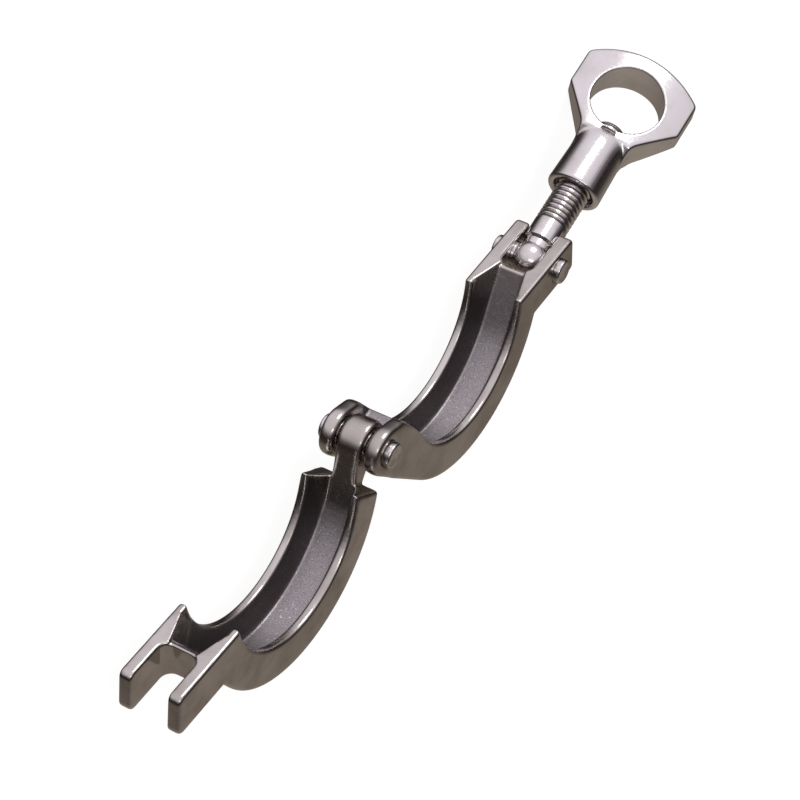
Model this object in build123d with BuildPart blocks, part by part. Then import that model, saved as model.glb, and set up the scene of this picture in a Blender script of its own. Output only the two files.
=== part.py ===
from build123d import *
from math import acos, atan2, cos, degrees, hypot, pi, radians, sin, sqrt, tan
import os

os.makedirs("parts", exist_ok=True)

# Single-pin hinged pipe clamp: two cast halves, two round pins, an eye bolt and a wing nut.
# Origin: pipe axis of the bolt half at mid width. Z runs along the pipe and both pins.
# X runs from the hinge towards the bolt. The bolt half bulges to -Y.

# ---- channel section shared by both halves, mm ----
width = 14.4
half_width = width / 2
groove_radius = 26.75
groove_depth = 5.5
lip_radius = groove_radius - groove_depth
back_wall = 3.05
back_radius = groove_radius + back_wall
floor_half = 3.2
wall_slope = 20.0
lip_round = 0.7
edge_round = 0.4
slot_round = 0.5

# ---- hinge ----
hinge_out = 3.1
hinge_x = back_radius + hinge_out
hinge_drop = 1.05
open_angle = 177.5
pin_diameter = 5.6
pin_proud = 1.5
pin_round = 0.5
running_gap = 0.05
ear_wall = 2.65
ear_radius = pin_diameter / 2 + ear_wall
tongue_half = 2.9
ear_side_gap = 0.8
ear_gap_half = tongue_half + ear_side_gap
knuckle_wall = 2.45
knuckle_radius = pin_diameter / 2 + knuckle_wall
ear_inner_round = 0.7
shoulder_reach = 6.0
shoulder_top = 2.7
shoulder_round = 1.3
ear_leave_angle = 76.0
shoulder_lip_angle = 190.0
lip_end_angle = 202.0
end_wall_top = -2.0
end_wall_angle = 192.0

# ---- bolt thread, which sets the slots, the eye and the nut ----
thread_diameter = 8.0
thread_radius = thread_diameter / 2

# ---- bolt clevis and fork ----
runout_angle = 33.0
prong_under = 12.3
web_top_drop = 0.6
clevis_top = 3.55
clevis_reach = 14.5
clevis_tip = back_radius + clevis_reach
clevis_slot_inset = 0.1
clevis_slot_root = back_radius + clevis_slot_inset
clevis_slot_half = thread_radius - clevis_slot_inset
clevis_tip_round = 1.2
bolt_pin_out = 7.6
bolt_pin_x = back_radius + bolt_pin_out
bolt_pin_drop = 7.6
fork_top = 2.75
fork_reach = 11.6
fork_tip_slant = 1.5
fork_tip_top = back_radius + fork_reach
fork_tip_bottom = fork_tip_top + fork_tip_slant
fork_slot_inset = 0.6
fork_slot_root = back_radius + fork_slot_inset
fork_slot_gap = 0.25
fork_slot_half = thread_radius + fork_slot_gap
fork_tip_round = 1.6
slot_corner = 2.4
end_face_lip = 9.6
end_face_back = 3.95
end_face_rise = 2.75
end_face_back_rise = 7.5
strap_behind = 2.9
strap_spread = 14.0

# ---- eye bolt ----
bolt_angle = 14.7
pitch = 1.25
thread_turns = 23
thread_depth = 0.62
thread_flank = 0.55
thread_root_half = 0.075
thread_overcut = 0.125
eye_wall = 0.25
eye_radius = thread_radius + eye_wall
eye_side_gap = 0.2
eye_neck_drop = 0.6
eye_neck_end = 4.0
eye_flat_reach = 8.8
eye_half = clevis_slot_half - eye_side_gap
thread_start = 9.4
bolt_length = 38.5
tip_chamfer = 0.9

# ---- wing nut ----
nut_turn = 106.0
nut_mouth = 19.6
mouth_wall = 2.5
mouth_radius = thread_radius + mouth_wall
neck_taper = 0.35
neck_radius = mouth_radius - neck_taper
neck_core = 4.9
flare_step = 0.6
mouth_round = 0.7
recess_wall = 1.6
recess_diameter = 2 * (mouth_radius - recess_wall)
recess_depth = 2.0
ring_center = 44.75
ring_radius = 8.5
head_half = 14.05
head_low = 43.7
head_high = 53.1
head_crown = 4.1
head_thick = 10.2
head_edge_thick = 4.9
neck_end = 34.2
neck_fade = 30.0
fade_half = 0.8
neck_blend = 6.0
head_round = 0.8
ring_round = 0.3
head_corner = 1.5
liner_wall = 1.2
liner_radius = thread_radius + liner_wall
liner_gap = 0.03
liner_inset = 0.3
thread_gap = 0.12

slice_margin = 20.0
near = 0.1


def on_circle(radius, angle):
    return (radius * cos(radians(angle)), radius * sin(radians(angle)))


def turned(point, angle):
    c = cos(radians(angle))
    s = sin(radians(angle))
    return (c * point[0] - s * point[1], s * point[0] + c * point[1])


pin_radius = pin_diameter / 2
hinge = (-hinge_x, -hinge_drop)
bolt_pin_at = (bolt_pin_x, -bolt_pin_drop)

# ================= bolt half =================
# Outer tangent from the ear circle to the back of the channel.
span = hypot(hinge_x, hinge_drop)
hinge_heading = degrees(atan2(-hinge_drop, -hinge_x))
tangent_lean = degrees(acos((back_radius - ear_radius) / span))
tangent_angle = hinge_heading + tangent_lean
tangent_back = on_circle(back_radius, tangent_angle)
ear_offset = on_circle(ear_radius, tangent_angle)
tangent_ear = (hinge[0] + ear_offset[0], hinge[1] + ear_offset[1])

clevis_lip_x = sqrt(lip_radius**2 - clevis_top**2)
clevis_back_x = sqrt(back_radius**2 - prong_under**2)
ear_leave_step = on_circle(ear_radius, ear_leave_angle)
ear_leave = (hinge[0] + ear_leave_step[0], hinge[1] + ear_leave_step[1])
shoulder_x = hinge[0] + shoulder_reach
shoulder_foot = on_circle(lip_radius, shoulder_lip_angle)
ear_west = (hinge[0] - ear_radius, hinge[1])

floor_leave = on_circle(groove_radius, -runout_angle)
floor_heading = (sin(radians(runout_angle)), cos(radians(runout_angle)))
runout_length = (slice_margin / 4 - floor_leave[1]) / floor_heading[1]
runout_end = (
    floor_leave[0] + runout_length * floor_heading[0],
    floor_leave[1] + runout_length * floor_heading[1],
)
lip_height = groove_radius - lip_radius
mouth_half = floor_half + lip_height * tan(radians(wall_slope))
section_height = lip_height + slice_margin / 2
floor_end = on_circle(groove_radius, end_wall_angle)

with BuildLine() as bolt_half_floor:
    Line(runout_end, floor_leave)
    ThreePointArc(floor_leave, on_circle(groove_radius, -90), floor_end)

with BuildPart() as bolt_half:
    with BuildSketch(Plane.XY.offset(-half_width)):
        with BuildLine():
            Line((clevis_tip, -clevis_top), (clevis_lip_x, -clevis_top))
            ThreePointArc((clevis_lip_x, -clevis_top), (0, -lip_radius), shoulder_foot)
            Line(shoulder_foot, (shoulder_x, shoulder_top))
            Line((shoulder_x, shoulder_top), ear_leave)
            ThreePointArc(ear_leave, ear_west, tangent_ear)
            Line(tangent_ear, tangent_back)
            ThreePointArc(tangent_back, (0, -back_radius), (clevis_back_x, -prong_under))
            Line((clevis_back_x, -prong_under), (clevis_tip, -prong_under))
            Line((clevis_tip, -prong_under), (clevis_tip, -clevis_top))
        make_face()
    extrude(amount=width)
    # Soft corners where the ear's shoulder turns down and at the prong tips.
    shoulder_edges = bolt_half.edges().filter_by(Axis.Z).filter_by_position(
        Axis.X, shoulder_x - edge_round, shoulder_x + edge_round
    )
    fillet(shoulder_edges, shoulder_round)
    clevis_tip_edges = bolt_half.edges().filter_by(Axis.Z).sort_by(Axis.X)[-2:]
    fillet(clevis_tip_edges, clevis_tip_round)
    # Tapered groove that holds the pipe's ferrules.
    section_plane = Plane(
        origin=(runout_end[0], runout_end[1], 0),
        x_dir=(0, 0, 1),
        z_dir=(-floor_heading[0], -floor_heading[1], 0),
    )
    with BuildSketch(section_plane):
        with BuildLine():
            Polyline(
                (-floor_half, 0),
                (floor_half, 0),
                (mouth_half, lip_height),
                (mouth_half, section_height),
                (-mouth_half, section_height),
                (-mouth_half, lip_height),
                close=True,
            )
        make_face()
    sweep(path=bolt_half_floor.line, mode=Mode.SUBTRACT)
    # Slot between the ears, and the saddle over the end wall behind it.
    with BuildSketch(Plane.XY.offset(-ear_gap_half)):
        with BuildLine():
            Polyline(
                (shoulder_x, -slice_margin - back_radius),
                (shoulder_x, end_wall_top),
                (-lip_radius, end_wall_top),
                (-lip_radius + slice_margin / 2, slice_margin),
                (hinge[0] - slice_margin, slice_margin),
                (hinge[0] - slice_margin, -slice_margin - back_radius),
                close=True,
            )
        make_face()
    extrude(amount=2 * ear_gap_half, mode=Mode.SUBTRACT)
    # Clevis slot for the eye of the bolt.
    with BuildSketch(Plane.XZ.offset(-slice_margin)):
        with BuildLine():
            Polyline(
                (clevis_slot_root, -clevis_slot_half),
                (clevis_slot_root, clevis_slot_half),
                (clevis_tip + slice_margin, clevis_slot_half),
                (clevis_tip + slice_margin, -clevis_slot_half),
                close=True,
            )
        make_face()
        root_corners = vertices().sort_by(Axis.X)[:2]
        fillet(root_corners, slot_corner)
    extrude(amount=3 * slice_margin, mode=Mode.SUBTRACT)
    # Web top dips below the prong tops.
    with BuildSketch(Plane.XY.offset(-floor_half)):
        with BuildLine():
            Polyline(
                (clevis_lip_x, slice_margin),
                (clevis_lip_x, -clevis_top - web_top_drop),
                (clevis_slot_root + slot_corner, -clevis_top - web_top_drop),
                (clevis_slot_root + slot_corner, slice_margin),
                close=True,
            )
        make_face()
    extrude(amount=2 * floor_half, mode=Mode.SUBTRACT)
    # Pin holes through the ears and the clevis prongs.
    with BuildSketch(Plane.XY.offset(-width)):
        with Locations(hinge, bolt_pin_at):
            Circle(pin_radius)
    extrude(amount=2 * width, mode=Mode.SUBTRACT)
    # Soft cast edges: both side faces, the lip crests, then the slots.
    side_edges = bolt_half.edges().filter_by(
        lambda e: abs(abs(e.center().Z) - half_width) < 1e-3 and abs(e.length - 2 * pi * pin_radius) > 1e-3
    )
    fillet(side_edges, lip_round)
    crest_edges = bolt_half.edges().filter_by(
        lambda e: abs(abs(e.center().Z) - mouth_half) < lip_round / 2
        and shoulder_x + shoulder_round < e.center().X < clevis_slot_root
        and e.length > 1
    )
    fillet(crest_edges, lip_round)
    ear_edges = bolt_half.edges().filter_by(
        lambda e: abs(abs(e.center().Z) - ear_gap_half) < 1e-3
        and e.center().X < shoulder_x
        and e.center().Y > -prong_under
        and abs(e.length - 2 * pi * pin_radius) > 1e-3
    )
    fillet(ear_edges, ear_inner_round)
    slot_edges = bolt_half.edges().filter_by(
        lambda e: abs(abs(e.center().Z) - clevis_slot_half) < 1e-3
        and e.center().X > clevis_slot_root
        and abs(e.length - 2 * pi * pin_radius) > 1e-3
    )
    fillet(slot_edges, slot_round)
    web_edges = bolt_half.edges().filter_by(
        lambda e: e.geom_type == GeomType.LINE
        and abs(e.center().Z) < 1e-3
        and abs(e.center().Y + clevis_top + web_top_drop) < 1e-3
    )
    fillet(web_edges, edge_round)
    # The shoulders slope steeply down from the ears to the ends of the lips.
    lip_end = on_circle(lip_radius, lip_end_angle)
    with BuildSketch(Plane.XY.offset(-width)):
        with BuildLine():
            Polyline(
                (shoulder_x + shoulder_round, shoulder_top - shoulder_round),
                lip_end,
                (lip_end[0] + ear_radius, lip_end[1]),
                (lip_end[0] + ear_radius, shoulder_top - shoulder_round),
                close=True,
            )
        make_face()
    extrude(amount=2 * width, mode=Mode.SUBTRACT)

# ================= fork half =================
# Its own axes: the pipe's axis is the origin, its back bulges to +Y, and it is turned open about the hinge.
open_shift = turned((hinge_x, -hinge_drop), open_angle)
fork_origin = (hinge[0] + open_shift[0], hinge[1] + open_shift[1], 0)
open_x = turned((1, 0), open_angle)
fork_plane = Plane(origin=fork_origin, x_dir=(open_x[0], open_x[1], 0), z_dir=(0, 0, 1))
fork_hinge = (-hinge_x, hinge_drop)

fork_lip_x = sqrt(lip_radius**2 - fork_top**2)
fork_back_x = sqrt(back_radius**2 - prong_under**2)
end_lip = (fork_hinge[0] + end_face_lip, fork_hinge[1] + end_face_rise)
end_lip_angle = degrees(atan2(end_lip[1], end_lip[0]))
end_inner = on_circle(lip_radius, end_lip_angle)
end_back = (fork_hinge[0] + end_face_back, fork_hinge[1] + end_face_back_rise)
end_outer = on_circle(back_radius, degrees(atan2(end_back[1], end_back[0])))

# Front of the tongue: the inner tangent between groove floor and knuckle.
fork_hinge_heading = degrees(atan2(fork_hinge[1], fork_hinge[0]))
strap_lean = degrees(acos((groove_radius + knuckle_radius) / span))
strap_angle = fork_hinge_heading - strap_lean
strap_top = on_circle(groove_radius, strap_angle)
strap_step = on_circle(knuckle_radius, strap_angle)
strap_foot = (fork_hinge[0] - strap_step[0], fork_hinge[1] - strap_step[1])
strap_heading = (sin(radians(strap_angle)), -cos(radians(strap_angle)))
strap_end = (
    strap_top[0] - slice_margin * strap_heading[0],
    strap_top[1] - slice_margin * strap_heading[1],
)
behind_step = on_circle(strap_behind, strap_angle)
strap_rear_foot = (fork_hinge[0] + behind_step[0], fork_hinge[1] + behind_step[1])
strap_rear_top = on_circle(back_radius - back_wall / 2, strap_angle - strap_spread)

fork_floor_leave = on_circle(groove_radius, runout_angle)
fork_runout_length = (slice_margin / 4 + fork_floor_leave[1]) / floor_heading[1]
fork_runout_end = (
    fork_floor_leave[0] + fork_runout_length * floor_heading[0],
    fork_floor_leave[1] - fork_runout_length * floor_heading[1],
)
fork_floor_points = [
    fork_plane.from_local_coords((p[0], p[1], 0))
    for p in (fork_runout_end, fork_floor_leave, on_circle(groove_radius, 90), strap_top, strap_end)
]
runout_heading = (fork_floor_points[1] - fork_floor_points[0]).normalized()

# Looking across the fork half, for its slot: local X stays, local Y becomes Z.
across_at = fork_plane.from_local_coords((0, -slice_margin, 0))
across_normal = fork_plane.from_local_coords((0, 1 - slice_margin, 0)) - across_at
fork_across = Plane(origin=across_at, x_dir=(open_x[0], open_x[1], 0), z_dir=across_normal)

with BuildLine() as fork_half_floor:
    Line(fork_floor_points[0], fork_floor_points[1])
    ThreePointArc(fork_floor_points[1], fork_floor_points[2], fork_floor_points[3])
    Line(fork_floor_points[3], fork_floor_points[4])

with BuildPart() as fork_half:
    with BuildSketch(fork_plane.offset(-half_width)):
        with BuildLine():
            Line((fork_tip_top, fork_top), (fork_lip_x, fork_top))
            ThreePointArc((fork_lip_x, fork_top), (0, lip_radius), end_inner)
            Line(end_inner, end_outer)
            ThreePointArc(end_outer, (0, back_radius), (fork_back_x, prong_under))
            Line((fork_back_x, prong_under), (fork_tip_bottom, prong_under))
            Line((fork_tip_bottom, prong_under), (fork_tip_top, fork_top))
        make_face()
    extrude(amount=width)
    fork_tip_edges = fork_half.edges().filter_by(Axis.Z).sort_by(
        lambda e: fork_plane.to_local_coords(e).center().X
    )[-2:]
    fillet(fork_tip_edges, fork_tip_round)
    # Tapered groove, running out into the tongue.
    fork_section_plane = Plane(origin=fork_floor_points[0], x_dir=(0, 0, 1), z_dir=runout_heading)
    with BuildSketch(fork_section_plane):
        with BuildLine():
            Polyline(
                (-floor_half, 0),
                (floor_half, 0),
                (mouth_half, -lip_height),
                (mouth_half, -section_height),
                (-mouth_half, -section_height),
                (-mouth_half, -lip_height),
                close=True,
            )
        make_face()
    sweep(path=fork_half_floor.line, mode=Mode.SUBTRACT)
    # Tongue and knuckle.
    with BuildSketch(fork_plane.offset(-tongue_half)):
        with BuildLine():
            Polyline(
                strap_top,
                strap_foot,
                fork_hinge,
                strap_rear_foot,
                strap_rear_top,
                close=True,
            )
        make_face()
        with Locations(fork_hinge):
            Circle(knuckle_radius)
    extrude(amount=2 * tongue_half)
    # Fork slot for the shank of the bolt.
    with BuildSketch(fork_across):
        with BuildLine():
            Polyline(
                (fork_slot_root, -fork_slot_half),
                (fork_slot_root, fork_slot_half),
                (fork_tip_bottom + slice_margin, fork_slot_half),
                (fork_tip_bottom + slice_margin, -fork_slot_half),
                close=True,
            )
        make_face()
        fork_corners = vertices().sort_by(Axis.X)[:2]
        fillet(fork_corners, slot_corner)
    extrude(amount=3 * slice_margin, mode=Mode.SUBTRACT)
    # Web top dips below the prong tops.
    with BuildSketch(fork_plane.offset(-floor_half)):
        with BuildLine():
            Polyline(
                (fork_lip_x, -slice_margin),
                (fork_lip_x, fork_top + web_top_drop),
                (fork_slot_root + slot_corner, fork_top + web_top_drop),
                (fork_slot_root + slot_corner, -slice_margin),
                close=True,
            )
        make_face()
    extrude(amount=2 * floor_half, mode=Mode.SUBTRACT)
    with BuildSketch(fork_plane.offset(-width)):
        with Locations(fork_hinge):
            Circle(pin_radius + running_gap)
    extrude(amount=2 * width, mode=Mode.SUBTRACT)
    fork_side_edges = fork_half.edges().filter_by(lambda e: abs(abs(e.center().Z) - half_width) < 1e-3)
    fillet(fork_side_edges, lip_round)
    fork_crest_edges = fork_half.edges().filter_by(
        lambda e: abs(abs(e.center().Z) - mouth_half) < 1e-3
        and (e.geom_type == GeomType.CIRCLE or fork_plane.to_local_coords(e.center()).X > 0)
        and e.length > 1
        and not fork_plane.to_local_coords(e.center()).X < -lip_radius / 2
    )
    fillet(fork_crest_edges, lip_round)
    fork_slot_edges = fork_half.edges().filter_by(
        lambda e: abs(abs(e.center().Z) - fork_slot_half) < 1e-3
        and fork_plane.to_local_coords(e.center()).X > fork_slot_root
    )
    fillet(fork_slot_edges, slot_round)
    tongue_edges = fork_half.edges().filter_by(
        lambda e: abs(abs(e.center().Z) - tongue_half) < 1e-3
        and abs(e.length - 2 * pi * (pin_radius + running_gap)) > 1e-3
        and e.length > knuckle_radius
    )
    fillet(tongue_edges, slot_round)

# ================= pins =================
with BuildPart() as hinge_pin:
    with BuildSketch(Plane.XY.offset(-half_width - pin_proud)):
        with Locations(hinge):
            Circle(pin_radius)
    extrude(amount=width + 2 * pin_proud)
    fillet(hinge_pin.edges().filter_by(GeomType.CIRCLE), pin_round)

with BuildPart() as bolt_pin:
    with BuildSketch(Plane.XY.offset(-half_width - pin_proud)):
        with Locations(bolt_pin_at):
            Circle(pin_radius)
    extrude(amount=width + 2 * pin_proud)
    fillet(bolt_pin.edges().filter_by(GeomType.CIRCLE), pin_round)

# ================= eye bolt =================
bolt_heading = turned((1, 0), bolt_angle)
bolt_across = turned((0, 1), bolt_angle)
bolt_origin = (bolt_pin_at[0], bolt_pin_at[1], 0)
bolt_plane = Plane(origin=bolt_origin, x_dir=(bolt_heading[0], bolt_heading[1], 0), z_dir=(0, 0, 1))
bolt_axis = Axis(bolt_origin, (bolt_heading[0], bolt_heading[1], 0))
eye_neck_radius = thread_radius - eye_neck_drop
eye_meets_neck = sqrt(eye_radius**2 - eye_neck_radius**2)
thread_middle = thread_start + thread_turns * pitch / 2

with BuildPart() as eye_bolt:
    with BuildSketch(bolt_plane):
        with BuildLine():
            ThreePointArc((-eye_radius, 0), (0, eye_radius), (eye_meets_neck, eye_neck_radius))
            Line((eye_meets_neck, eye_neck_radius), (eye_neck_end, eye_neck_radius))
            Line((eye_neck_end, eye_neck_radius), (eye_neck_end + eye_neck_drop, thread_radius))
            Line((eye_neck_end + eye_neck_drop, thread_radius), (bolt_length - tip_chamfer, thread_radius))
            Line((bolt_length - tip_chamfer, thread_radius), (bolt_length, thread_radius - tip_chamfer))
            Line((bolt_length, thread_radius - tip_chamfer), (bolt_length, 0))
            Line((bolt_length, 0), (-eye_radius, 0))
        make_face()
    revolve(axis=bolt_axis)
    # Flats on the eye, and its pin hole.
    with BuildSketch(bolt_plane.offset(eye_half), bolt_plane.offset(-eye_half - slice_margin)):
        Rectangle(2 * eye_flat_reach, 2 * eye_flat_reach)
    extrude(amount=slice_margin, mode=Mode.SUBTRACT)
    with BuildSketch(bolt_plane.offset(-width)):
        Circle(pin_radius + running_gap)
    extrude(amount=2 * width, mode=Mode.SUBTRACT)
    # Thread ridges, one groove to each pitch.
    with BuildSketch(bolt_plane):
        with Locations((thread_middle, thread_radius)):
            with GridLocations(pitch, pitch, thread_turns, 1):
                Polygon(
                    (-thread_flank, thread_overcut),
                    (-thread_root_half, -thread_depth),
                    (thread_root_half, -thread_depth),
                    (thread_flank, thread_overcut),
                    align=None,
                )
    revolve(axis=bolt_axis, mode=Mode.SUBTRACT)

# ================= wing nut =================
nut_up = cos(radians(nut_turn))
nut_wide = Vector(-bolt_heading[1] * nut_up, bolt_heading[0] * nut_up, sin(radians(nut_turn)))
nut_normal = nut_wide.cross(Vector(bolt_heading[0], bolt_heading[1], 0))
nut_plane = Plane(origin=bolt_origin, x_dir=nut_wide, z_dir=nut_normal)
nut_top = head_high + head_crown
neck_join = ring_center - ring_radius
crown_middle = (0, nut_top)
liner_start = nut_mouth + recess_depth
liner_end = ring_center - ring_radius - liner_inset
thick_half = head_thick / 2
edge_half = head_edge_thick / 2
crown_half = head_half + edge_round
nut_end_plane = Plane(origin=bolt_origin, x_dir=nut_wide, z_dir=(bolt_heading[0], bolt_heading[1], 0))
nut_side_plane = Plane(origin=bolt_origin, x_dir=(bolt_heading[0], bolt_heading[1], 0), z_dir=-nut_wide)

with BuildPart() as wing_nut:
    # Head seen face on.
    with BuildSketch(nut_plane.offset(-mouth_radius)) as head_face:
        with BuildLine():
            Line((-neck_radius, neck_end), (-head_half, head_low))
            Line((-head_half, head_low), (-head_half, head_high))
            ThreePointArc((-head_half, head_high), crown_middle, (head_half, head_high))
            Line((head_half, head_high), (head_half, head_low))
            Line((head_half, head_low), (neck_radius, neck_end))
            Line((neck_radius, neck_end), (neck_radius, neck_fade))
            Line((neck_radius, neck_fade), (-neck_radius, neck_fade))
            Line((-neck_radius, neck_fade), (-neck_radius, neck_end))
        make_face()
        fillet(vertices().filter_by_position(Axis.Y, neck_end - near, neck_end + near), neck_blend)
        fillet(vertices().filter_by_position(Axis.Y, head_high - near, head_high + near), head_corner)
        fillet(vertices().filter_by_position(Axis.Y, head_low - near, head_low + near), head_corner)
    extrude(amount=2 * mouth_radius)
    # Crowned faces: thick at the middle, thin at the wing edges.
    with BuildSketch(nut_end_plane):
        with BuildLine():
            ThreePointArc((-crown_half, -edge_half), (0, -thick_half), (crown_half, -edge_half))
            Line((crown_half, -edge_half), (crown_half, edge_half))
            ThreePointArc((crown_half, edge_half), (0, thick_half), (-crown_half, edge_half))
            Line((-crown_half, edge_half), (-crown_half, -edge_half))
        make_face()
    extrude(amount=nut_top + slice_margin, mode=Mode.INTERSECT)
    # The flare thins out where it runs into the round neck.
    with BuildSketch(nut_side_plane):
        with BuildLine():
            Polyline(
                (neck_fade, -fade_half),
                (neck_join, -mouth_radius),
                (nut_top + slice_margin, -mouth_radius),
                (nut_top + slice_margin, mouth_radius),
                (neck_join, mouth_radius),
                (neck_fade, fade_half),
                close=True,
            )
        make_face()
    extrude(amount=head_half + slice_margin, both=True, mode=Mode.INTERSECT)
    # Round neck, slightly tapered, from the mouth to the start of the flare.
    with BuildSketch(nut_end_plane.offset(nut_mouth)):
        Circle(mouth_radius)
    with BuildSketch(nut_end_plane.offset(neck_fade)):
        Circle(neck_radius)
    loft(ruled=True)
    # The neck flattens and widens into the head.
    with BuildSketch(nut_end_plane.offset(neck_fade)):
        Circle(neck_radius)
    with BuildSketch(nut_end_plane.offset(neck_end)):
        Ellipse(neck_radius + flare_step, neck_core + flare_step)
    with BuildSketch(nut_end_plane.offset(neck_join - ring_round)):
        Ellipse(neck_radius + 2 * flare_step, neck_core)
    loft()
    # Cross hole through the head, then the bore for the thread and its recess.
    with BuildSketch(nut_plane.offset(-mouth_radius * 2)):
        with Locations((0, ring_center)):
            Circle(ring_radius)
    extrude(amount=4 * mouth_radius, mode=Mode.SUBTRACT)
    with BuildSketch(nut_plane):
        with BuildLine():
            Polyline(
                (0, nut_mouth - pitch),
                (recess_diameter / 2, nut_mouth - pitch),
                (recess_diameter / 2, liner_start),
                (liner_radius + liner_gap, liner_start),
                (liner_radius + liner_gap, liner_end),
                (thread_radius + thread_gap, liner_end),
                (thread_radius + thread_gap, ring_center),
                (0, ring_center),
                close=True,
            )
        make_face()
    revolve(axis=bolt_axis, mode=Mode.SUBTRACT)
    nut_mouth_edges = wing_nut.edges().filter_by(
        lambda e: abs(nut_plane.to_local_coords(e.center()).Y - nut_mouth) < near
    )
    fillet(nut_mouth_edges, mouth_round)
    ring_edges = wing_nut.edges().filter_by(
        lambda e: e.length > 5 * ring_radius
        and abs(nut_plane.to_local_coords(e.center()).Z) > edge_half
    )
    fillet(ring_edges, ring_round)
    head_edges = wing_nut.edges().filter_by(
        lambda e: abs(nut_plane.to_local_coords(e.center()).Z) > edge_half / 2
        and e.length > edge_round
        and (
            nut_plane.to_local_coords(e.center()).Y > ring_center + ring_radius + ring_round
            or (
                abs(nut_plane.to_local_coords(e.center()).X) > ring_radius
                and nut_plane.to_local_coords(e.center()).Y > neck_end + ring_round
            )
        )
    )
    fillet(head_edges, head_round)

# Threaded lining of the nut: it rides along the bolt while the nut turns around it.
with BuildPart() as nut_thread:
    with BuildSketch(nut_plane):
        with BuildLine():
            Polyline(
                (thread_radius + thread_gap, liner_start),
                (liner_radius, liner_start),
                (liner_radius, liner_end),
                (thread_radius + thread_gap, liner_end),
                close=True,
            )
        make_face()
    revolve(axis=bolt_axis)

bolt_half.part.label = "bolt_half"
export_step(bolt_half.part, "parts/bolt_half.step")
fork_half.part.label = "fork_half"
export_step(fork_half.part, "parts/fork_half.step")
hinge_pin.part.label = "hinge_pin"
export_step(hinge_pin.part, "parts/hinge_pin.step")
bolt_pin.part.label = "bolt_pin"
export_step(bolt_pin.part, "parts/bolt_pin.step")
eye_bolt.part.label = "eye_bolt"
export_step(eye_bolt.part, "parts/eye_bolt.step")
wing_nut.part.label = "wing_nut"
export_step(wing_nut.part, "parts/wing_nut.step")
nut_thread.part.label = "nut_thread"
export_step(nut_thread.part, "parts/nut_thread.step")
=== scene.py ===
from math import cos, pi, radians, sin, tan

import bpy
from mathutils import Matrix, Vector


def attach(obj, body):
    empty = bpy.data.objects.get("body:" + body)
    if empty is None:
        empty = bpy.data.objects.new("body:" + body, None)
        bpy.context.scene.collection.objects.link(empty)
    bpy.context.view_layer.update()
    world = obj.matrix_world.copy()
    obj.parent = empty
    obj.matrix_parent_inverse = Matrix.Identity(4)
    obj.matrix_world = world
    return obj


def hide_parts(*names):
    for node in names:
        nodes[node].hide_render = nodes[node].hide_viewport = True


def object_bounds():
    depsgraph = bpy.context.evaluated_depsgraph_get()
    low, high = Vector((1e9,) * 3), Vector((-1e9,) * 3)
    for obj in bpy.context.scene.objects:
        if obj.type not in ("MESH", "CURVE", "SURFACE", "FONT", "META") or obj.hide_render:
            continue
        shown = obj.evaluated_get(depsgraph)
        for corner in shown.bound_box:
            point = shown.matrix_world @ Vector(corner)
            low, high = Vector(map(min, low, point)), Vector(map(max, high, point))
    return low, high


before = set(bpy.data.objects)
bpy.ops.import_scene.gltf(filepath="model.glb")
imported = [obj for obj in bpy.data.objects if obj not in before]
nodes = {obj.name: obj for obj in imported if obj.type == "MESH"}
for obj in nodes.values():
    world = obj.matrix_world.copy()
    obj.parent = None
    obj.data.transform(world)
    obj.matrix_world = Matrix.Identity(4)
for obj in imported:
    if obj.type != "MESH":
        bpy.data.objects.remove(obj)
cad_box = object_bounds()
MM = 0.001

# ---- sizes shared with the CAD model, metres ----
FORK_CENTRE = (-65.7229 * MM, 1.4341 * MM, 0)
HINGE_PIN = (-32.9 * MM, -1.05 * MM, 0)
BOLT_PIN = (37.4 * MM, -7.6 * MM, 0)
BOLT_LEAN = radians(14.7)
BOLT_AXIS = (cos(BOLT_LEAN), sin(BOLT_LEAN), 0)
GROOVE_RADIUS = 26.75 * MM
FLOOR_HALF = 3.2 * MM
WALL_SLOPE = radians(20)
THREAD_CREST = 4.0 * MM
THREAD_DEPTH = 0.62 * MM
THREAD_PITCH = 1.25 * MM

# ---- finish and skin sizes, metres ----
LIP_END_SOFT_SPOT = (-42.6 * MM, -3.4 * MM, 0)
NUT_SOFT_SPOT = 34.5 * MM
THREAD_SHADE_START = 8.6 * MM
LATHE_STEP = 0.22 * MM
POLISH_WAVE = 0.085 * MM
SKIN_VOXEL = 0.2 * MM
CASTING_ROUNDS = 11
NUT_ROUNDS = 4
FLOOR_SIZE = 8
FLOOR_GAP = 0.2 * MM


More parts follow.
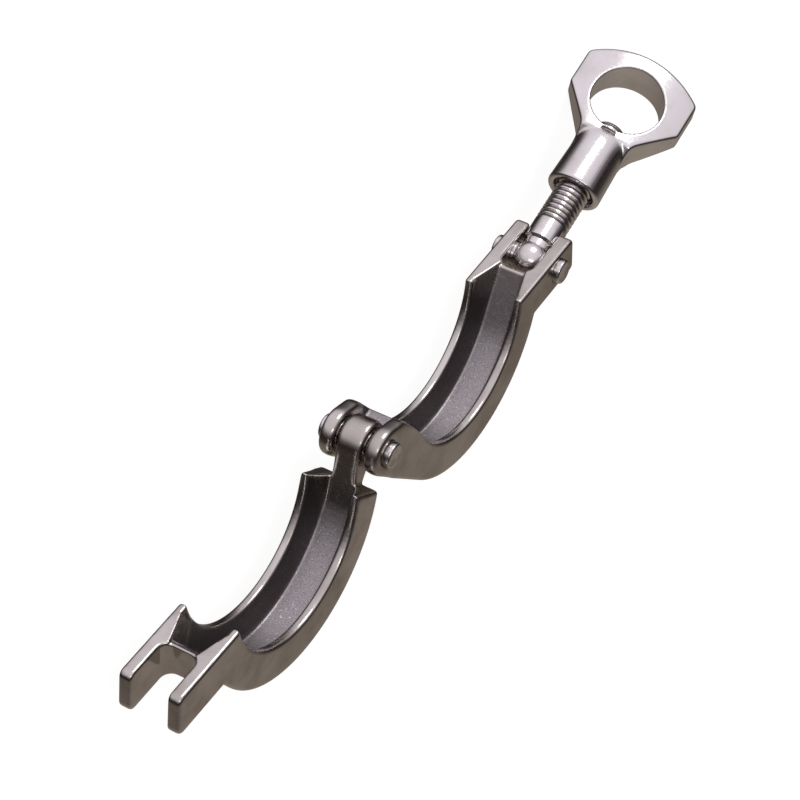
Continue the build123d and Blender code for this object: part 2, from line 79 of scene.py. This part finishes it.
class Tree:
    """Short names for building a material's node tree."""

    def __init__(self, name):
        self.material = bpy.data.materials.new(name)
        self.material.use_nodes = True
        self.nodes = self.material.node_tree.nodes
        self.links = self.material.node_tree.links
        self.shader = self.nodes["Principled BSDF"]
        self.coords = self.nodes.new("ShaderNodeTexCoord").outputs["Object"]

    def put(self, socket, value):
        if isinstance(value, bpy.types.NodeSocket):
            self.links.new(value, socket)
        else:
            socket.default_value = value

    def math(self, operation, a, b=0.0):
        node = self.nodes.new("ShaderNodeMath")
        node.operation = operation
        self.put(node.inputs[0], a)
        self.put(node.inputs[1], b)
        return node.outputs[0]

    def vector(self, operation, a, b=(0, 0, 0)):
        node = self.nodes.new("ShaderNodeVectorMath")
        node.operation = operation
        self.put(node.inputs[0], a)
        self.put(node.inputs[1], b)
        return node.outputs["Value" if operation in ("LENGTH", "DOT_PRODUCT") else "Vector"]

    def ramp(self, value, low, high, out_low=0.0, out_high=1.0):
        node = self.nodes.new("ShaderNodeMapRange")
        node.interpolation_type = "SMOOTHSTEP"
        self.put(node.inputs["Value"], value)
        node.inputs["From Min"].default_value = low
        node.inputs["From Max"].default_value = high
        node.inputs["To Min"].default_value = out_low
        node.inputs["To Max"].default_value = out_high
        return node.outputs["Result"]

    def noise(self, scale, detail=3.0, rough=0.5, stretch=(1, 1, 1)):
        vector = self.vector("MULTIPLY", self.coords, stretch)
        node = self.nodes.new("ShaderNodeTexNoise")
        self.links.new(vector, node.inputs["Vector"])
        node.inputs["Scale"].default_value = scale
        node.inputs["Detail"].default_value = detail
        node.inputs["Roughness"].default_value = rough
        return node.outputs["Fac"]

    def pits(self, scale):
        node = self.nodes.new("ShaderNodeTexVoronoi")
        self.links.new(self.coords, node.inputs["Vector"])
        node.inputs["Scale"].default_value = scale
        return node.outputs["Distance"]

    def mix(self, factor, a, b):
        node = self.nodes.new("ShaderNodeMix")
        node.data_type = "RGBA"
        self.put(node.inputs["Factor"], factor)
        self.put(node.inputs[6], a)
        self.put(node.inputs[7], b)
        return node.outputs[2]

    def blend(self, factor, a, b):
        node = self.nodes.new("ShaderNodeMix")
        node.data_type = "FLOAT"
        self.put(node.inputs["Factor"], factor)
        self.put(node.inputs[2], a)
        self.put(node.inputs[3], b)
        return node.outputs[0]

    def bump(self, height, distance, strength=1.0, normal=None):
        node = self.nodes.new("ShaderNodeBump")
        node.inputs["Strength"].default_value = strength
        node.inputs["Distance"].default_value = distance
        self.put(node.inputs["Height"], height)
        if normal is not None:
            self.links.new(normal, node.inputs["Normal"])
        return node.outputs["Normal"]

    def finish(self, colour, roughness, normal):
        self.shader.inputs["Metallic"].default_value = 1.0
        self.put(self.shader.inputs["Base Color"], colour)
        self.put(self.shader.inputs["Roughness"], roughness)
        self.put(self.shader.inputs["Normal"], normal)
        return self.material


WARM_STEEL = (0.62, 0.59, 0.565, 1)
DULL_STEEL = (0.44, 0.405, 0.38, 1)
PALE_STEEL = (0.74, 0.715, 0.72, 1)
BLASTED = (0.40, 0.375, 0.385, 1)
BLASTED_DARK = (0.25, 0.23, 0.235, 1)
# Dark colour: random grime patches in the nut's cut thread, and painted shade on the groove walls and in
# the bolt's thread roots.
GRIME_AND_SHADE = (0.10, 0.085, 0.075, 1)


def polished(tree):
    """Colour, roughness and surface of hand-polished cast steel: waves, patches and fine scratches."""
    patches = tree.ramp(tree.noise(70, 4, 0.6), 0.35, 0.7)
    scratches = tree.noise(900, 2, 0.5, (0.35, 1, 1))
    colour = tree.mix(patches, WARM_STEEL, DULL_STEEL)
    roughness = tree.blend(patches, 0.13, 0.27)
    roughness = tree.math("ADD", roughness, tree.ramp(scratches, 0.45, 0.75, 0, 0.08))
    normal = tree.bump(tree.noise(160, 2, 0.5), POLISH_WAVE, 0.55)
    normal = tree.bump(scratches, 0.006 * MM, 0.5, normal)
    return colour, roughness, normal


def casting(name, centre, tongue):
    """Polished outside, bead-blasted in the groove around centre, as far as the hinge end at tongue, with
    painted shade on the groove walls.
    """
    tree = Tree(name)
    here = tree.vector("SUBTRACT", tree.coords, centre)
    radius = tree.vector("LENGTH", tree.vector("MULTIPLY", here, (1, 1, 0)))
    side = tree.math("ABSOLUTE", tree.vector("DOT_PRODUCT", here, (0, 0, 1)))
    wall = tree.math("MULTIPLY", tree.math("SUBTRACT", GROOVE_RADIUS, radius), tan(WALL_SLOPE))
    inset = tree.math("SUBTRACT", tree.math("ADD", wall, FLOOR_HALF), side)
    in_walls = tree.ramp(inset, -0.35 * MM, -0.1 * MM)
    in_floor = tree.ramp(radius, GROOVE_RADIUS + 1.6 * MM, GROOVE_RADIUS + 0.9 * MM)
    along = tree.vector("DOT_PRODUCT", here, (1, 0, 0))
    past_end = tree.ramp(along, tongue[0], tongue[1])
    groove = tree.math("MULTIPLY", tree.math("MULTIPLY", in_walls, in_floor), past_end)
    colour, roughness, normal = polished(tree)
    grain = tree.noise(4200, 3, 0.6)
    pits = tree.ramp(tree.pits(420), 0.0, 0.45)
    lumps = tree.noise(260, 3, 0.55)
    blast_colour = tree.mix(tree.ramp(grain, 0.38, 0.62), BLASTED_DARK, BLASTED)
    blast_colour = tree.mix(tree.ramp(tree.noise(2200, 1, 0.5), 0.70, 0.76), blast_colour, PALE_STEEL)
    # Painted shade: the groove walls beyond the floor are darkened up to 0.6 towards the dark colour,
    # standing in for the shade and dark reflections there.
    painted_wall_shade = tree.ramp(side, FLOOR_HALF - 0.2 * MM, FLOOR_HALF + 0.5 * MM, 0, 0.6)
    blast_colour = tree.mix(painted_wall_shade, blast_colour, GRIME_AND_SHADE)
    blast_normal = tree.bump(grain, 0.025 * MM, 0.7)
    blast_normal = tree.bump(pits, 0.04 * MM, 0.3, blast_normal)
    blast_normal = tree.bump(lumps, 0.1 * MM, 0.45, blast_normal)
    normals = tree.nodes.new("ShaderNodeMix")
    normals.data_type = "VECTOR"
    tree.links.new(groove, normals.inputs["Factor"])
    tree.links.new(normal, normals.inputs[4])
    tree.links.new(blast_normal, normals.inputs[5])
    return tree.finish(
        tree.mix(groove, colour, blast_colour),
        tree.blend(groove, roughness, 0.4),
        normals.outputs[1],
    )


def pin_steel(name, centre):
    """Turned pin: faint lathe rings round its axis."""
    tree = Tree(name)
    here = tree.vector("SUBTRACT", tree.coords, centre)
    radius = tree.vector("LENGTH", tree.vector("MULTIPLY", here, (1, 1, 0)))
    rings = tree.math("SINE", tree.math("MULTIPLY", radius, 2 * pi / LATHE_STEP))
    patches = tree.ramp(tree.noise(300, 3, 0.6), 0.4, 0.7)
    normal = tree.bump(rings, 0.004 * MM, 0.5)
    normal = tree.bump(tree.noise(420, 3, 0.5), 0.05 * MM, 0.5, normal)
    return tree.finish(tree.mix(patches, PALE_STEEL, DULL_STEEL), tree.blend(patches, 0.17, 0.3), normal)


def bolt_steel(name):
    """Bright thread with painted shade darkening its roots, and a polished eye."""
    tree = Tree(name)
    here = tree.vector("SUBTRACT", tree.coords, BOLT_PIN)
    along = tree.vector("DOT_PRODUCT", here, BOLT_AXIS)
    radius = tree.vector("LENGTH", tree.vector("CROSS_PRODUCT", here, BOLT_AXIS))
    root = tree.ramp(radius, THREAD_CREST - 0.15 * MM, THREAD_CREST - THREAD_DEPTH)
    root = tree.math("MULTIPLY", root, tree.ramp(along, THREAD_SHADE_START, THREAD_SHADE_START + 0.4 * MM))
    patches = tree.ramp(tree.noise(240, 3, 0.6), 0.4, 0.7)
    colour = tree.mix(patches, PALE_STEEL, WARM_STEEL)
    # Painted shade: the thread roots are darkened up to 0.75 towards the dark colour, so the turns stand
    # out; the roots are also made rougher.
    colour = tree.mix(tree.math("MULTIPLY", root, 0.75), colour, GRIME_AND_SHADE)
    roughness = tree.blend(root, tree.blend(patches, 0.14, 0.24), 0.45)
    normal = tree.bump(tree.noise(500, 3, 0.5), 0.04 * MM, 0.5)
    return tree.finish(colour, roughness, normal)


def nut_steel(name):
    """Bright polished nut with soft buffing waves."""
    tree = Tree(name)
    patches = tree.ramp(tree.noise(90, 4, 0.6), 0.4, 0.75)
    scratches = tree.noise(1100, 2, 0.5, (1, 0.4, 1))
    colour = tree.mix(patches, PALE_STEEL, WARM_STEEL)
    roughness = tree.math("ADD", tree.blend(patches, 0.14, 0.24), tree.ramp(scratches, 0.45, 0.75, 0, 0.07))
    normal = tree.bump(tree.noise(140, 2, 0.5), 0.06 * MM, 0.55)
    normal = tree.bump(scratches, 0.005 * MM, 0.5, normal)
    return tree.finish(colour, roughness, normal)


def cut_thread(name):
    """Dull cut thread inside the nut."""
    tree = Tree(name)
    here = tree.vector("SUBTRACT", tree.coords, BOLT_PIN)
    along = tree.vector("DOT_PRODUCT", here, BOLT_AXIS)
    turns = tree.math("SINE", tree.math("MULTIPLY", along, 2 * pi / THREAD_PITCH))
    normal = tree.bump(turns, 0.25 * MM, 0.8)
    patches = tree.ramp(tree.noise(500, 3, 0.6), 0.35, 0.7)
    return tree.finish(tree.mix(patches, DULL_STEEL, GRIME_AND_SHADE), tree.blend(patches, 0.32, 0.5), normal)


finishes = {
    "bolt_half": casting("bolt_half_casting", (0, 0, 0), (-30 * MM, -29 * MM)),
    "fork_half": casting("fork_half_casting", FORK_CENTRE, (24.5 * MM, 21 * MM)),
    "hinge_pin": pin_steel("hinge_pin_steel", HINGE_PIN),
    "bolt_pin": pin_steel("bolt_pin_steel", BOLT_PIN),
    "eye_bolt": bolt_steel("eye_bolt_steel"),
    "wing_nut": nut_steel("wing_nut_steel"),
    "nut_thread": cut_thread("nut_cut_thread"),
}
for node_name, finish in finishes.items():
    piece = nodes[node_name]
    if not piece.data.materials:
        piece.data.materials.append(finish)
    for place in piece.material_slots:
        place.material = finish


# ---- soft cast skins over the sharp CAD castings ----
def baked(obj, name):
    """The mesh of obj with its modifiers applied."""
    bpy.context.view_layer.update()
    shape = obj.evaluated_get(bpy.context.evaluated_depsgraph_get())
    mesh = bpy.data.meshes.new_from_object(shape)
    mesh.name = name
    obj.modifiers.clear()
    return mesh


def soften(obj, name, rounds, weight=lambda point: 1.0):
    """Relax obj's mesh, wherever weight says, for that many rounds."""
    group = obj.vertex_groups.new(name=name)
    for vertex in obj.data.vertices:
        share = weight(vertex.co)
        if share > 0.02:
            group.add([vertex.index], min(share, 1.0), "REPLACE")
    modifier = obj.modifiers.new(name, "SMOOTH")
    modifier.factor = 0.5
    modifier.iterations = rounds
    modifier.vertex_group = name


def cast_skin(node_name, body, rounds, extra):
    """A remeshed copy of a CAD node with rounded edges, riding in its place."""
    source = nodes[node_name]
    skin = bpy.data.objects.new(node_name + "_skin", source.data.copy())
    bpy.context.scene.collection.objects.link(skin)
    remesh = skin.modifiers.new("remesh", "REMESH")
    remesh.mode = "VOXEL"
    remesh.voxel_size = SKIN_VOXEL
    remesh.use_smooth_shade = True
    skin.data = baked(skin, node_name + "_remesh")
    soften(skin, "all_over", rounds)
    for label, more, weight in extra:
        soften(skin, label, more, weight)
    skin.data = baked(skin, node_name + "_skin")
    for polygon in skin.data.polygons:
        polygon.use_smooth = True
    skin.data.materials.clear()
    skin.data.materials.append(finishes[node_name])
    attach(skin, body)
    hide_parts(node_name)


def fade(distance, full, none):
    """1 inside full, 0 beyond none, straight between."""
    return max(0.0, min(1.0, (none - distance) / (none - full)))


def near_hinge(point):
    return fade((Vector((point.x, point.y, 0)) - Vector(HINGE_PIN)).length, 6.5 * MM, 9 * MM)


def nut_flare(point):
    along = (point - Vector(BOLT_PIN)).dot(Vector(BOLT_AXIS))
    return fade(abs(along - NUT_SOFT_SPOT), 3 * MM, 6 * MM)


def near_lip_ends(point):
    return fade((Vector((point.x, point.y, 0)) - Vector(LIP_END_SOFT_SPOT)).length, 2 * MM, 4.5 * MM)


cast_skin("bolt_half", "bolt_half", CASTING_ROUNDS, [("ears", 110, near_hinge)])
cast_skin(
    "fork_half",
    "fork_half",
    CASTING_ROUNDS,
    [("knuckle", 60, near_hinge), ("lip_ends", 70, near_lip_ends)],
)
cast_skin("wing_nut", "wing_nut", NUT_ROUNDS, [("flare", 18, nut_flare)])

# ---- floor ----
bpy.ops.mesh.primitive_plane_add(size=FLOOR_SIZE, location=(0, 0, cad_box[0][2] - FLOOR_GAP))
floor = bpy.context.object
floor.name = "floor"
paper = bpy.data.materials.new("floor_paper")
paper.use_nodes = True
paper_shader = paper.node_tree.nodes["Principled BSDF"]
paper_shader.inputs["Base Color"].default_value = (0.5, 0.5, 0.5, 1)
paper_shader.inputs["Roughness"].default_value = 0.9
paper_shader.inputs["Specular IOR Level"].default_value = 0.0
paper_shader.inputs["Emission Color"].default_value = (1, 1, 1, 1)
paper_shader.inputs["Emission Strength"].default_value = 0.88
floor.data.materials.append(paper)
floor.visible_glossy = False

# ---- soft studio surroundings: bright above (+Y), darker below ----
world = bpy.data.worlds.new("studio")
bpy.context.scene.world = world
world.use_nodes = True
sky_nodes = world.node_tree.nodes
sky_links = world.node_tree.links
direction = sky_nodes.new("ShaderNodeTexCoord").outputs["Generated"]
height = sky_nodes.new("ShaderNodeSeparateXYZ")
sky_links.new(direction, height.inputs[0])
spread = sky_nodes.new("ShaderNodeMapRange")
spread.inputs["From Min"].default_value = -1
spread.inputs["From Max"].default_value = 1
sky_links.new(height.outputs["Y"], spread.inputs["Value"])
bands = sky_nodes.new("ShaderNodeValToRGB")
sky_links.new(spread.outputs["Result"], bands.inputs["Fac"])
stops = [
    (0.0, (0.34, 0.30, 0.26)),
    (0.14, (0.25, 0.215, 0.185)),
    (0.34, (0.05, 0.042, 0.038)),
    (0.52, (0.02, 0.018, 0.018)),
    (0.66, (0.16, 0.14, 0.15)),
    (0.80, (0.80, 0.76, 0.80)),
    (1.0, (1.05, 1.0, 1.07)),
]
ramp = bands.color_ramp
while len(ramp.elements) < len(stops):
    ramp.elements.new(0.5)
for element, (place, colour) in zip(ramp.elements, stops):
    element.position = place
    element.color = (*colour, 1)
sky = sky_nodes["Background"]
sky_links.new(bands.outputs["Color"], sky.inputs["Color"])
sky.inputs["Strength"].default_value = 1.0


def softbox(name, at, towards, size, power):
    light = bpy.data.lights.new(name, "AREA")
    light.shape = "RECTANGLE"
    light.size = size[0]
    light.size_y = size[1]
    light.energy = power
    lamp = bpy.data.objects.new(name, light)
    lamp.location = at
    lamp.rotation_euler = (Vector(towards) - Vector(at)).to_track_quat("-Z", "Y").to_euler()
    bpy.context.scene.collection.objects.link(lamp)


softbox("key_softbox", (0.35, 0.75, 0.1), (-0.01, 0, 0), (0.3, 0.3), 1.6)
softbox("left_softbox", (-0.5, 0.45, 0.45), (-0.01, 0, 0), (0.12, 0.5), 0.5)

# ---- camera, looking down the clamp from beyond the fork half ----
camera_data = bpy.data.cameras.new("camera")
camera = bpy.data.objects.new("camera", camera_data)
bpy.context.scene.collection.objects.link(camera)
camera_data.lens = 116.02
camera_data.sensor_width = 36
camera_data.clip_start = 0.01
ahead = Vector((0.57246, -0.72639, -0.38033)).normalized()
right = ahead.cross(Vector((0.62870, 0.68663, -0.36508))).normalized()
up = right.cross(ahead)
turn = Matrix((right, up, -ahead)).transposed().to_4x4()
camera.matrix_world = Matrix.Translation((-0.32632, 0.38887, 0.20521)) @ turn
bpy.context.scene.camera = camera
bpy.context.scene.view_settings.view_transform = "Standard"
